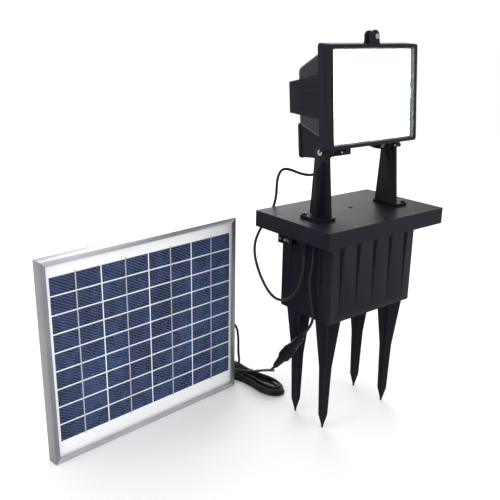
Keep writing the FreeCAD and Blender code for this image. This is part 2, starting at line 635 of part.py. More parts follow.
cover_front, cover_back = d.cable_box_back, d.cable_box_back + 6
cable_box_cover = new_body("cable_box_cover", "head")
pad(cable_box_cover, "XZ", cover_front, cover_back,
    slab(box_half + 1.5, box_low - 1.5, d.cable_box_high + 2.5))
soften(cable_box_cover, 5, lambda e: runs_along(e, "y"))
soften(cable_box_cover, 1.5, lambda e: e.CenterOfMass.y > cover_back.number - 0.1)
COVER_SCREWS = [(i * (box_half - 4), z) for i in (-1, 1) for z in (box_low + 4.5, d.cable_box_high - 4.5)]
cut(cable_box_cover, "XZ", cover_back, cover_front, *[disc(x, z, 1.5) for x, z in COVER_SCREWS])
cable_box_screws = screws("cable_box_screws", "head", "XZ", COVER_SCREWS, cover_back, cover_back + 1.8,
                          cover_front - 6, 2.8, 1.5, 1.2)
cut(lamp_housing, "XZ", cover_front, cover_front - 6, *[disc(x, z, 1.5) for x, z in COVER_SCREWS])

terminal_block = new_body("terminal_block", "head")
pad(terminal_block, "XZ", d.cable_box_front + 3, d.cable_box_front + 15, slab(sized(18), sized(0), sized(14)))
cut(terminal_block, "XZ", d.cable_box_front + 15, d.cable_box_front + 8,
    *[disc(i * 11, 7, 2.6) for i in (-1, 0, 1)])

lamp_head_gland = gland("lamp_head_gland", "head", d.gland_x, d.gland_y, box_low, 13, 6.4, d.lead / 2)

# ----------------------------------------------------------------------------------- hinged front frame
front_frame = new_body("front_frame", "head")
loft(front_frame, "Additive", "XZ", (door_back, face(d.rim_width - 3.2, d.rim_height - 3.8)),
     (d.face_y, face(d.face_width, d.face_height)))
soften(front_frame, 4, lambda e: runs_along(e, "y"))
wall = d.door_wall
cut(front_frame, "XZ", door_back, d.face_y + 2, face(d.face_width - 2 * wall, d.face_height - 2 * wall))
cut(front_frame, "XZ", door_back, d.face_y, face(d.face_width - 2 * d.lip, d.face_height - 2 * d.lip))
clasp_ear(front_frame, d.face_y + 1.5, d.face_y + 5, mid_z + d.face_height / 2 - 2)
for side in SIDE_HINGES:
    near, far = side * (d.hinge_x - 3), side * (d.hinge_x + 2.7)
    pad(front_frame, "YZ", near, far, disc(d.hinge_y, d.hinge_z, d.hinge_round))
    pad(front_frame, "YZ", near, far, corners((d.hinge_y - 3, d.hinge_z), (d.hinge_y + 1, d.hinge_z + 3),
                                              (door_back, rim_low + 4), (door_back - 6, rim_low + 5)))
    cut(front_frame, "YZ", near, far, disc(d.hinge_y, d.hinge_z, d.hinge_pin + 0.06))

glass_front = d.face_y + 2
front_glass = new_body("front_glass", "head")
pad(front_glass, "XZ", glass_front, glass_front + d.glass_thick,
    face(d.face_width - 2 * wall - 0.6, d.face_height - 2 * wall - 0.6))

glass_clips = new_body("glass_clips", "head")
clip_x, clip_z = d.face_width / 2 - wall, d.face_height / 2 - wall
CLIPS = ((0, 1, 16, 6), (0, -1, 16, 6), (1, 0, 6, 16), (-1, 0, 6, 16))
pad(glass_clips, "XZ", glass_front + d.glass_thick, glass_front + d.glass_thick + 0.9,
    *[middle(i * (clip_x - 1.6), mid_z + j * (clip_z - 1.6), *(3.2 if k == 6 else k for k in (w, t)))
      for i, j, w, t in CLIPS])

clasp_screw = new_body("clasp_screw", "head")
pad(clasp_screw, "XZ", d.face_y + 1.5, d.face_y - 1.5, disc(0, clasp_z, 3.4))
pad(clasp_screw, "XZ", d.face_y + 1.5, rim_front + 8, disc(0, clasp_z, 1.9))
cut(clasp_screw, "XZ", d.face_y - 1.5, d.face_y + 0.3, middle(0, clasp_z, 5.2, 1))

# ------------------------------------------------------------------------------------------ solar panel
W, H, deep = d.panel_width, d.panel_height, d.panel_deep
frame_wall, lip_in = d.frame_wall, d.frame_lip
pane_front = sized(1.5)
laminate_back = pane_front + 4
shelf_back = laminate_back + 1.2


def rail_profile(across):
    """The frame section: wall, front lip, laminate shelf and rear flange, as (depth, across) points."""
    points = ((nothing, nothing), (nothing, lip_in), (pane_front, lip_in), (pane_front, frame_wall),
              (laminate_back, frame_wall), (laminate_back, lip_in + 0.5), (shelf_back, lip_in + 0.5),
              (shelf_back, frame_wall), (deep - 1.5, frame_wall), (deep - 1.5, d.frame_flange),
              (deep, d.frame_flange), (deep, nothing))
    return [(y, across(inward)) for y, inward in points]


def rail(name, along_x, far):
    """One frame rail with mitred ends: along X or Z, on the near or the far side of the panel."""
    body = new_body(name, "panel")
    size = H if along_x else W
    section = rail_profile((lambda v: size - v) if far else (lambda v: v))
    if along_x:
        pad(body, "YZ", 0, W, corners(*section))
    else:
        pad(body, "XY", 0, H, corners(*[(x, y) for y, x in section]))
    reach = d.frame_flange + 4
    for end_x in (nothing, W):
        for end_z in (nothing, H):
            if sized(end_z if along_x else end_x).number != (size.number if far else 0):
                continue
            in_x = reach if end_x.number == 0 else -reach
            in_z = reach if end_z.number == 0 else -reach
            outside = (end_x, end_z + in_z) if along_x else (end_x + in_x, end_z)
            cut(body, "XZ", -1, deep + 1, corners((end_x, end_z), (end_x + in_x, end_z + in_z), outside))
    return body


rail_bottom = rail("panel_rail_bottom", True, False)
rail_top = rail("panel_rail_top", True, True)
rail("panel_rail_left", False, False)
rail("panel_rail_right", False, True)
for body, z in ((rail_bottom, d.mount_in), (rail_top, H - d.mount_in)):
    cut(body, "XZ", deep, deep - 1.5, disc(d.mount_x, z, d.mount_hole), disc(W - d.mount_x, z, d.mount_hole))


def sheet_of_panel(name, near, far):
    body = new_body(name, "panel")
    pad(body, "XZ", near, far, middle(W / 2, H / 2, W - 2 * frame_wall - 1, H - 2 * frame_wall - 1))
    return body


cell_front = pane_front + d.pane_thick
cell_back = cell_front + 0.3
panel_glass = sheet_of_panel("panel_glass", pane_front, cell_front)
sheet_of_panel("panel_backsheet", cell_back, laminate_back)

COLUMNS, ROWS = 4, 9
step_x, step_z = d.cell_width + d.cell_gap, d.cell_height + d.cell_gap
solar_cells = new_body("solar_cells", "panel")
grid_x, grid_z = W / 2 + d.cell_shift_x, H / 2 + d.cell_shift_z
first_row = pad(solar_cells, "XZ", cell_front + 0.1, cell_back, *[
    middle(grid_x + step_x * (i - (COLUMNS - 1) / 2), grid_z - step_z * (ROWS - 1) / 2, d.cell_width,
           d.cell_height) for i in range(COLUMNS)])
stack_up(solar_cells, first_row, ROWS, step_z)

cell_ribbons = new_body("cell_ribbons", "panel")
pad(cell_ribbons, "XZ", cell_front, cell_front + 0.1, *[
    middle(grid_x + step_x * (i - (COLUMNS - 1) / 2), grid_z, d.ribbon_width, step_z * ROWS + 4)
    for i in range(COLUMNS)])

junction_x, junction_z, junction_back = W / 2 + 60, H - 95, deep - 2
junction_box = new_body("panel_junction_box", "panel")
pad(junction_box, "XZ", laminate_back, junction_back, middle(junction_x, junction_z, 70, 62))
soften(junction_box, 4, lambda e: runs_along(e, "y"))
cut(junction_box, "XZ", junction_back, laminate_back + 2, middle(junction_x, junction_z, 64, 56))
cut(junction_box, "YZ", junction_x + 31, junction_x + 35, disc(laminate_back + 7, junction_z, 3))
junction_cover = new_body("junction_box_cover", "panel")
pad(junction_cover, "XZ", junction_back, junction_back + 2, middle(junction_x, junction_z, 70, 62))
soften(junction_cover, 4, lambda e: runs_along(e, "y"))
junction_gland = new_body("junction_gland", "panel")
pad(junction_gland, "YZ", junction_x + 31, junction_x + 35, disc(laminate_back + 7, junction_z, 3))
pad(junction_gland, "YZ", junction_x + 35, junction_x + 39, hexagon(laminate_back + 7, junction_z, 5.2))
pad(junction_gland, "YZ", junction_x + 39, junction_x + 51, disc(laminate_back + 7, junction_z, 3.6))
cut(junction_gland, "YZ", junction_x + 51, junction_x + 31, disc(laminate_back + 7, junction_z, d.lead / 2))

# ----------------------------------------------------------------------------- connector and free leads
# Each route is a list of points in the battery box's frame: what lies between the glands, the connector
# and the hank on the ground.
CONNECTOR_TOP, CONNECTOR_END = V(-101, -10.6, 162.2), V(-112, 40, 92)
CONNECTOR_LONG = (CONNECTOR_END - CONNECTOR_TOP).Length
LAMP_ROUTE = [(-10, 61.7, 406.5), (-11, 60.6, 391), (-27, 64, 383), (-44, 71, 388), (-62, 81, 396),
              (-76, 88, 395), (-83, 91, 379), (-82, 90, 353), (-90, 90, 329), (-107, 93, 308),
              (-121, 90, 280), (-121, 74, 246), (-117, 48, 218), (-112, 21, 217), (-107, -1, 238),
              (-105.3, -9, 264), (-105, -10.5, 279), (-105, -10.5, 293.4)]
BOX_ROUTE = [(-100, -24, 299.4), (-100, -24, 281), (-101, -19, 252), (-100, -24, 223), (-100, -31, 197),
             (-99.4, -21.6, 177.5), tuple(CONNECTOR_TOP)]
DROP_ROUTE = [tuple(CONNECTOR_END), (-113.3, 47, 82.5), (-104, 62, 73), (-92, 84, 60), (-80, 109, 45),
              (-72, 134, 31), (-68, 150, 23), (-66, 160, 19.5)]
PANEL_ROUTE = [(-167.8, 167.1, 218), (-156, 169, 217), (-141, 178, 207), (-128, 190, 187), (-120, 198, 162),
               (-113, 200, 138), (-101, 197, 118), (-84, 193, 109), (-72, 192, 94), (-69, 192, 72),
               (-71, 192, 50), (-69, 192, 34), (-66, 194, 19.5)]


def tube(name, route):
    """A round lead along straight runs joined by tangent arcs, as large as the runs allow."""
    at = [V(*point) for point in route]
    edges, start, radii, length = [], at[0], [], 0
    for before, corner, after in zip(at, at[1:], at[2:]):
        into, out = corner - before, after - corner
        reach = 0.45 * min(into.Length, out.Length)
        into, out = into.normalize(), out.normalize()
        half_turn = into.getAngle(out) / 2
        radius = reach / math.tan(half_turn)
        inward = (out - into).normalize()
        centre = corner + inward * (radius / math.cos(half_turn))
        first, last = corner - into * reach, corner + out * reach
        edges += [Part.LineSegment(start, first), Part.Arc(first, centre - inward * radius, last)]
        start = last
        radii.append(radius)
    edges.append(Part.LineSegment(start, at[-1]))
    path = Part.Wire([edge.toShape() for edge in edges])
    section = Part.Wire(Part.Circle(at[0], at[1] - at[0], CELLS["lead"] / 2).toShape())
    shape = path.makePipeShell([section], True, False)
    length = path.Length
    expected = math.pi * (CELLS["lead"] / 2) ** 2 * length
    if abs(shape.Volume - expected) > 0.02 * expected:
        raise RuntimeError(f"{name}: the tube's volume is {shape.Volume:.0f}, not {expected:.0f}")
    lead = doc.addObject("Part::Feature", name)
    lead.Label = name
    lead.Shape = shape
    place(lead, "box")
    print(f"{name}: {length:.0f} mm long, radii", *[f"{radius:.0f}" for radius in radii])


lamp_lead = tube("lamp_lead", LAMP_ROUTE)
box_lead = tube("box_lead", BOX_ROUTE)
drop_lead = tube("drop_lead", DROP_ROUTE)
panel_lead = tube("panel_lead", PANEL_ROUTE)

# the connector hangs along its own -Z from where the box's lead goes in
THREAD, NUT_TOP, NUT_STEP, NUT_END = 7, -38.4, -50, -60
connector_socket = new_body("connector_socket", "connector")
turned(connector_socket, (0, 0), (3.2, 0), (3.8, -6), (5.9, -8), (6.8, -30), (8.4, -32), (8.4, -38),
       (THREAD, -38), (THREAD, -46), (0, -46))
connector_plug = new_body("connector_plug", "connector")
turned(connector_plug, (0, -46), (6.8, -46), (6.8, -49.8), (6, -49.8), (6, -60.2), (7.4, -60.2), (7, -64),
       (4.4, -85), (3.4, -CONNECTOR_LONG), (0, -CONNECTOR_LONG))
union_nut = new_body("union_nut", "connector")
turned(union_nut, (THREAD + 0.1, NUT_TOP), (9.6, NUT_TOP), (10, NUT_TOP - 1.5), (10, NUT_END + 2),
       (9, NUT_END), (6.1, NUT_END), (6.1, NUT_STEP), (THREAD + 0.1, NUT_STEP))
GRIPS = [math.radians(30 * i) for i in range(12)]
cut(union_nut, "XY", NUT_TOP, NUT_END, *[disc(10.9 * math.cos(a), 10.9 * math.sin(a), 1.7) for a in GRIPS])

# the spare lead lies as a tied hank beside the panel: two fanned ends and a narrow tied waist
HANK = [(-81, 158), (-87, 128), (-85, 102), (-75, 86), (-52, 82), (-37, 97), (-38, 124), (-59, 160),
        (-55, 198), (-58, 230), (-68, 246), (-88, 244), (-100, 226), (-98, 194)]
lead_hank = new_body("lead_hank", "box")
pad(lead_hank, "XY", 1, d.hank_height, corners(*HANK))
soften(lead_hank, 4, lambda e: runs_along(e, "x", 1.58) and e.CenterOfMass.z > 5)

hank_tie = new_body("hank_tie", "box")
TIE_LOW, TIE_HIGH = 0, d.hank_height + 1
pad(hank_tie, "XZ", 157, 163, block(-84, TIE_LOW, -56, TIE_HIGH))
cut(hank_tie, "XZ", 157, 163, block(-81.5, 1, -58.5, d.hank_height + 0.2))
pad(hank_tie, "XY", 14, 17, corners((-60, 157.5), (-26, 138), (-24, 141.5), (-57, 162)))

# ------------------------------------------------------------------------------------ check and write out
doc.recompute()
failed = [f.Label for f in doc.Objects if {"Invalid", "Error"} & set(f.State)]
failed += [p.Label for p in pieces if p.Shape.isNull() or not p.Shape.isValid() or p.Shape.Volume < 1]
if failed:
    raise RuntimeError("these did not build: " + ", ".join(failed))
if len({p.Label for p in pieces}) != len(pieces):
    raise RuntimeError("two pieces share a label")
os.makedirs("parts", exist_ok=True)
for piece in pieces:
    piece.Shape.exportStep(f"parts/{piece.Label}.step")
print(len(pieces), "pieces written")
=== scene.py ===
import json
import math

import bmesh
import bpy
import numpy as np
from mathutils import Matrix, Vector


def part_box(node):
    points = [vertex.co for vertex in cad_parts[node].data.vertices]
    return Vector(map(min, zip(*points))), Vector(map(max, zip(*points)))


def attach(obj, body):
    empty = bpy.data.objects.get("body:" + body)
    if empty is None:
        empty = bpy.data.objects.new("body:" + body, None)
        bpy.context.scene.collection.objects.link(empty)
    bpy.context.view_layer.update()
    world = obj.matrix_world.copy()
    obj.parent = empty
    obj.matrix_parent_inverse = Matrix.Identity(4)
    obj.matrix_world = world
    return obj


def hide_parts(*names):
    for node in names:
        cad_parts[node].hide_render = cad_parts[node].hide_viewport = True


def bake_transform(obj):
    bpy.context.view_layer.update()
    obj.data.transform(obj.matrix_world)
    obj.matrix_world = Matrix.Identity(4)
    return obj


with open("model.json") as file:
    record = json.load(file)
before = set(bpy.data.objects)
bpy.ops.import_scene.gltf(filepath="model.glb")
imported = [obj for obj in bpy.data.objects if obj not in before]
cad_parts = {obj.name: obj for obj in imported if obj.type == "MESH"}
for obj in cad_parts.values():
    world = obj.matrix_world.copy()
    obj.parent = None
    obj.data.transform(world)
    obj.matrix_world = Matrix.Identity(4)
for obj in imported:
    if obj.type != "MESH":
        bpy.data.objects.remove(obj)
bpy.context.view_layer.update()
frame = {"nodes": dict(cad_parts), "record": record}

# A solar garden light: floodlight, battery box on stakes, and a framed panel, joined by a hanked lead.
# Everything is in metres. "Box frame" means millimetres from the ground under the middle of the lid.
lid_low, lid_high = (Vector(corner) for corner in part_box("lid"))
BOX_MIDDLE = Vector(((lid_low.x + lid_high.x) / 2, (lid_low.y + lid_high.y) / 2, 0))
PANEL_YAW = math.radians(5.3)
PANEL_CORNER = BOX_MIDDLE + Vector((-0.4515, 0.1285, 0))


def from_box(points):
    """Box-frame millimetres to metres in the shared frame."""
    return [BOX_MIDDLE + Vector(point) / 1000 for point in points]


# ------------------------------------------------------------------------------------------------ camera
CAMERA_TURNS = (-38.82, 17.95, 0.91)
CAMERA_PLACE = BOX_MIDDLE + Vector((-0.77081, -0.70994, 0.61129))
SENSOR, LENS = 36, 49.485


def aim_camera():
    """A camera to the left of the lamp and a little above its lid, with a slight roll."""
    azimuth, elevation, roll = (math.radians(angle) for angle in CAMERA_TURNS)
    back = Vector((math.sin(azimuth) * math.cos(elevation), -math.cos(azimuth) * math.cos(elevation),
                   math.sin(elevation)))
    level = (-back).cross(Vector((0, 0, 1))).normalized()
    upward = level.cross(-back)
    right = level * math.cos(roll) + upward * math.sin(roll)
    up = upward * math.cos(roll) - level * math.sin(roll)
    lens = bpy.data.cameras.new("studio_camera")
    lens.sensor_width, lens.lens = SENSOR, LENS
    camera = bpy.data.objects.new("studio_camera", lens)
    turn = Matrix((right, up, back)).transposed().to_4x4()
    camera.matrix_world = Matrix.Translation(CAMERA_PLACE) @ turn
    bpy.context.scene.collection.objects.link(camera)
    bpy.context.scene.camera = camera


aim_camera()


# ------------------------------------------------------------------------------------------- shader tools
class Signal:
    """A shader socket that Python's operators work on: each operation adds its Math node."""

    def __init__(self, finish, socket):
        self.finish, self.socket = finish, socket

    def maths(self, operation, *values):
        return self.finish.node("ShaderNodeMath", {"operation": operation}, dict(enumerate(values)))

    def __add__(self, other):
        return self.maths("ADD", self, other)

    def __mul__(self, other):
        return self.maths("MULTIPLY", self, other)

    def __gt__(self, other):
        return self.maths("GREATER_THAN", self, other)


class Finish:
    """One material: a Principled shader and the nodes that feed it."""

    def __init__(self, name, **constants):
        self.material = bpy.data.materials.new(name)
        self.material.use_nodes = True
        self.tree = self.material.node_tree
        self.shader = next(n for n in self.tree.nodes if n.type == "BSDF_PRINCIPLED")
        for socket, value in constants.items():
            self.shader.inputs[socket.replace("_", " ")].default_value = value

    def node(self, kind, settings=None, sockets=None, out=0):
        """Adds a node: its settings first, then the values or links of its sockets."""
        made = self.tree.nodes.new(kind)
        for key, value in (settings or {}).items():
            if key == "stops":
                ramp = made.color_ramp.elements
                while len(ramp) < len(value):
                    ramp.new(0.5)
                for stop, (position, colour) in zip(ramp, value):
                    stop.position, stop.color = position, (*colour, 1)
            else:
                setattr(made, key, value)
        for key, value in (sockets or {}).items():
            if isinstance(value, Signal):
                self.tree.links.new(value.socket, made.inputs[key])
            else:
                made.inputs[key].default_value = value
        return Signal(self, made.outputs[out])

    def feed(self, **sockets):
        for socket, signal in sockets.items():
            self.tree.links.new(signal.socket, self.shader.inputs[socket.replace("_", " ")])

    def place(self, turn=(0, 0, 0), stretch=(1, 1, 1), shift=(0, 0, 0)):
        """Object coordinates, turned, stretched and shifted for a pattern."""
        at = self.node("ShaderNodeTexCoord", out=3)
        return self.node("ShaderNodeMapping", {"vector_type": "TEXTURE"},
                         {"Vector": at, "Rotation": turn, "Location": shift,
                          "Scale": tuple(1 / s for s in stretch)})

    def noise(self, at, scale, detail=2.0, roughness=0.5):
        return self.node("ShaderNodeTexNoise", None,
                         {"Vector": at, "Scale": scale, "Detail": detail, "Roughness": roughness})

    def ramp(self, signal, *stops):
        return self.node("ShaderNodeValToRGB", {"stops": stops}, {"Fac": signal})

    def spread(self, signal, low, high):
        """A 0 to 1 signal moved to run from low to high."""
        return signal * (high - low) + low

    def mix(self, amount, first, second):
        """Mixes two colours by an amount."""
        return self.node("ShaderNodeMix", {"data_type": "RGBA"}, {0: amount, 6: first, 7: second}, out=2)

    def bump(self, height, depth, strength=1.0):
        return self.node("ShaderNodeBump", None, {"Height": height, "Distance": depth, "Strength": strength})


def grey(value, tint=(1, 1, 1)):
    return tuple(value * part for part in tint)


# ---------------------------------------------------------------------------------------------- finishes
PURPLE_BLACK = (0.82, 0.76, 1.25)


def grained_black(name, level, grain, depth, rough_low, rough_high, tint=PURPLE_BLACK):
    """Moulded or coated black: a fine grain in the bump, faint cloudy wear in tone and gloss."""
    finish = Finish(name, Specular_IOR_Level=0.08)
    at = finish.place()
    cloud = finish.noise(at, 14, 4, 0.6)
    fine = finish.noise(at, grain, 3, 0.55)
    scuff = finish.noise(finish.place(stretch=(1, 1, 0.12)), 160, 5, 0.7)
    tone = finish.ramp(cloud * 0.7 + scuff * 0.3, (0.3, grey(level * 0.82, tint)), (0.52, grey(level, tint)),
                       (0.75, grey(level * 1.3, tint)))
    gloss = finish.spread(cloud * 0.6 + fine * 0.4, rough_low, rough_high)
    finish.feed(Base_Color=tone, Roughness=gloss, Normal=finish.bump(fine, depth, 0.5))
    return finish.material


def zinc_plate():
    """Bright zinc: bluish metal with faint turned lines and cloudy roughness."""
    finish = Finish("zinc_plate", Metallic=1.0)
    cloud = finish.noise(finish.place(), 260, 3)
    lines = finish.noise(finish.place(stretch=(1, 1, 0.1)), 2400, 2)
    finish.feed(Base_Color=finish.ramp(cloud, (0.3, (0.3, 0.31, 0.34)), (0.7, (0.5, 0.51, 0.53))),
                Roughness=finish.spread(cloud, 0.18, 0.42), Normal=finish.bump(lines, 0.00002, 0.4))
    return finish.material


def bus_strip():
    """Tinned copper strip under the pane: satin silver with a faint drawn grain."""
    finish = Finish("bus_strip", Metallic=0.2, Specular_IOR_Level=0.2)
    grain = finish.noise(finish.place(stretch=(1, 1, 0.05)), 1800, 2)
    finish.feed(Base_Color=finish.ramp(grain, (0.3, (0.4, 0.4, 0.42)), (0.7, (0.56, 0.56, 0.58))),
                Roughness=finish.spread(grain, 0.35, 0.55))
    return finish.material


def clear_pane(name, tint, alpha):
    """Thin glass: nearly clear, with a faint tint and a film of dust in its gloss."""
    finish = Finish(name, Alpha=alpha, IOR=1.45, Specular_IOR_Level=0.2)
    film = finish.noise(finish.place(), 22, 4)
    finish.feed(Base_Color=finish.ramp(film, (0.3, tint), (0.8, tuple(min(1, t * 1.05) for t in tint))),
                Roughness=finish.spread(film, 0.03, 0.09))
    return finish.material


def hammered_metal():
    """Hammered reflector sheet: rounded dimples in bright aluminium."""
    finish = Finish("hammered_metal", Metallic=1.0)
    dimples = finish.node("ShaderNodeTexVoronoi", {"feature": "F1"},
                          {"Vector": finish.place(), "Scale": 260.0})
    cloud = finish.noise(finish.place(), 60, 3)
    finish.feed(Base_Color=finish.ramp(cloud, (0.3, (0.62, 0.7, 0.64)), (0.7, (0.86, 0.9, 0.86))),
                Roughness=finish.spread(cloud, 0.12, 0.3), Normal=finish.bump(dimples, 0.0012, 0.9))
    return finish.material


def glowing(name, warm, cool, strength, rough):
    """A lit surface: near-white with a slow drift between two tones."""
    finish = Finish(name, Emission_Strength=strength, Roughness=rough)
    drift = finish.noise(finish.place(), 30, 2)
    tone = finish.ramp(drift, (0.3, warm), (0.7, cool))
    finish.feed(Base_Color=tone, Emission_Color=tone)
    return finish.material


def rubber(name, level):
    """Matte rubber or soft lead jacket with a light bloom."""
    finish = Finish(name, Specular_IOR_Level=0.25)
    at = finish.place()
    bloom, fine = finish.noise(at, 55, 4), finish.noise(at, 1500, 2)
    finish.feed(Base_Color=finish.ramp(bloom, (0.3, grey(level * 0.7)), (0.75, grey(level * 1.5))),
                Roughness=finish.spread(bloom, 0.36, 0.6), Normal=finish.bump(fine, 0.00004, 0.4))
    return finish.material


def circuit_board():
    """Green solder mask with paler tracks that follow a grid."""
    finish = Finish("circuit_board", Roughness=0.35)
    at = finish.place()
    tracks = finish.node("ShaderNodeTexBrick", {"offset": 0.35}, {
        "Vector": at, "Color1": (0.01, 0.12, 0.04, 1), "Color2": (0.02, 0.16, 0.06, 1),
        "Mortar": (0.06, 0.3, 0.12, 1), "Scale": 160.0, "Mortar Size": 0.03})
    finish.feed(Base_Color=tracks, Normal=finish.bump(finish.noise(at, 900, 2), 0.00005, 0.4))
    return finish.material


RAIL_TINT = (1, 1, 1.1)


def anodised(name, stretch, level):
    """Satin anodised aluminium: fine drawn lines along the rail and cloudy tone."""
    finish = Finish(name, Metallic=0.85)
    turned = (0, 0, PANEL_YAW)
    lines = finish.noise(finish.place(turned, stretch), 1300, 3)
    cloud = finish.noise(finish.place(turned), 18, 4)
    tone = finish.ramp(cloud * 0.6 + lines * 0.4, (0.3, grey(level * 0.8, RAIL_TINT)),
                       (0.55, grey(level, RAIL_TINT)), (0.8, grey(level * 1.2, RAIL_TINT)))
    finish.feed(Base_Color=tone, Roughness=finish.spread(cloud * 0.5 + lines * 0.5, 0.3, 0.5),
                Normal=finish.bump(lines, 0.00004, 0.5))
    return finish.material


FINGERS_ACROSS, FINGERS_UP, FINGER_EDGE = 120, 215, 0.33


def solar_cell():
    """Polycrystalline silicon: irregular blue crystals crossed by fine silver lines printed on a slant."""
    finish = Finish("solar_cell", Specular_IOR_Level=0.03)
    at = finish.place((0, 0, PANEL_YAW), shift=tuple(PANEL_CORNER))
    crystals = finish.node("ShaderNodeTexVoronoi", {"feature": "F1"}, {"Vector": at, "Scale": 85.0}, out=1)
    shade = finish.node("ShaderNodeSeparateColor", None, {0: crystals})
    cloud = finish.noise(finish.place((0, 0, PANEL_YAW), (1, 1, 0.35)), 9, 3)
    blue = finish.ramp(shade * 0.25 + cloud * 0.75, (0.33, (0.004, 0.006, 0.03)), (0.5, (0.008, 0.018, 0.07)),
                       (0.68, (0.02, 0.045, 0.13)))
    across = finish.node("ShaderNodeSeparateXYZ", None, {0: at})
    rise = finish.node("ShaderNodeSeparateXYZ", None, {0: at}, out=2)
    count = across * FINGERS_ACROSS + rise * FINGERS_UP
    fine = count.maths("FRACT", count)
    silver = fine.maths("PINGPONG", fine, 0.5) > FINGER_EDGE
    finish.feed(Base_Color=finish.mix(silver * 0.55, blue, (0.09, 0.13, 0.23, 1)),
                Roughness=finish.spread(shade, 0.3, 0.5))
    return finish.material


def white_sheet():
    """White laminate backing with a very faint cloth print and clouding."""
    finish = Finish("white_sheet", Roughness=0.42)
    at = finish.place((0, 0, PANEL_YAW))
    cloud, weave = finish.noise(at, 9, 3), finish.noise(at, 700, 2)
    finish.feed(Base_Color=finish.ramp(cloud, (0.3, (0.9, 0.91, 0.93)), (0.7, (0.95, 0.96, 0.97))),
                Normal=finish.bump(weave, 0.00005, 0.4))
    return finish.material


lamp_black = grained_black("lamp_powder_coat", 0.014, 900, 0.00012, 0.36, 0.55)
box_black = grained_black("box_moulding", 0.012, 700, 0.00014, 0.36, 0.55)
upright_black = grained_black("upright_moulding", 0.009, 800, 0.0001, 0.34, 0.5)
fitting_black = grained_black("fitting_moulding", 0.008, 1100, 0.00006, 0.3, 0.45)
# Screws: near-black, with a finer grain and more gloss than the mouldings.
screw_black = grained_black("screw_oxide", 0.01, 1500, 0.00003, 0.2, 0.34)
battery_grey = grained_black("battery_case", 0.05, 500, 0.0001, 0.4, 0.55, (1, 1, 1))
chip_black = grained_black("board_parts", 0.03, 600, 0.00006, 0.25, 0.4, (1, 1, 1))
grip_grey = grained_black("switch_grip", 0.2, 900, 0.0001, 0.35, 0.5, (1, 1, 1))
seal_black, jacket_black = rubber("seal_rubber", 0.03), rubber("lead_jacket", 0.006)
zinc = zinc_plate()
lamp_glass = clear_pane("lamp_glass", (0.86, 0.94, 0.9), 0.1)
panel_pane = clear_pane("panel_pane", (0.9, 0.95, 0.97), 0.01)
reflector_metal = hammered_metal()
lit_board = glowing("lit_board", (1.0, 0.99, 0.96), (0.97, 0.99, 1.0), 3.0, 0.5)
lit_led = glowing("lit_led", (1.0, 0.97, 0.86), (1.0, 0.99, 0.95), 8.0, 0.3)
long_rail = anodised("anodised_long_rail", (0.02, 1, 1), 0.5)
# Side rails: the same anodised aluminium at about half the level of the long rails; the darker level is
# painted shade for the rail ends that turn away from the light.
shaded_side_rail = anodised("anodised_side_rail", (1, 1, 0.02), 0.24)

FINISHES = {
    "lamp_shell": lamp_black, "upright_plastic": upright_black, "box_plastic": box_black,
    "fitting_plastic": fitting_black, "switch_grip": grip_grey, "zinc": zinc, "fibre": seal_black,
    "gasket": seal_black, "clear_glass": lamp_glass, "reflector_metal": reflector_metal, "board": lit_board,
    "led_white": lit_led, "part_dark": chip_black, "battery_case": battery_grey, "lead_tab": zinc,
    "anodised": long_rail, "cell_blue": solar_cell(), "ribbon": zinc, "white_sheet": white_sheet(),
    "lead_black": jacket_black}
OWN_FINISH = {"controller_board": circuit_board(), "panel_glass": panel_pane, "lid_screws": screw_black,
              "foot_screws": screw_black, "cable_box_screws": screw_black, "cell_ribbons": bus_strip(),
              "panel_rail_left": shaded_side_rail, "panel_rail_right": shaded_side_rail}
slot_of = {part["node"]: part["material_slot"] for part in frame["record"]["subparts"]}
for node, thing in frame["nodes"].items():
    thing.data.materials.clear()
    thing.data.materials.append(OWN_FINISH.get(node, FINISHES[slot_of[node]]))


# ----------------------------------------------------------------------------------------------- leads
LEAD = 0.0044
CONNECTOR_TOP, CONNECTOR_END = (-101, -10.6, 162.2), (-112, 40, 92)
LAMP_ROUTE = [(-10, 61.7, 406.5), (-11, 60.6, 395), (-27, 64, 390), (-44, 71, 394), (-60, 79, 402),
              (-72, 84.5, 402), (-78, 87, 386), (-78, 87, 356), (-88, 89, 329), (-107, 93, 308),
              (-121, 90, 280), (-121, 74, 242), (-117, 48, 211), (-112, 21, 210), (-107, -1, 233),
              (-105.3, -9, 264), (-105, -10.5, 279), (-105, -10.5, 293.4)]
BOX_ROUTE = [(-100, -24, 299.4), (-100, -24, 281), (-101, -19, 252), (-100, -24, 223), (-100, -31, 197),
             (-99.4, -21.6, 177.5), CONNECTOR_TOP]
DROP_ROUTE = [CONNECTOR_END, (-113.3, 47, 82.5), (-104, 62, 73), (-92, 84, 60), (-80, 109, 45),
              (-73, 134, 31), (-72, 150, 22)]
HANK_OUT = [(-57, 220, 5), (-58, 207, 11), (-62, 197, 22), (-68, 192, 36)]
PANEL_ROUTE = [(-69, 192, 50), (-69, 192, 72), (-72, 192, 94), (-84, 193, 109), (-101, 197, 118),
               (-113, 200, 138), (-120, 198, 162), (-128, 190, 187), (-141, 178, 207), (-156, 169, 217),
               (-167.8, 167.1, 218)]
HANK_MIDDLE, HANK_LEAN = (-70, 161), math.radians(-10.5)


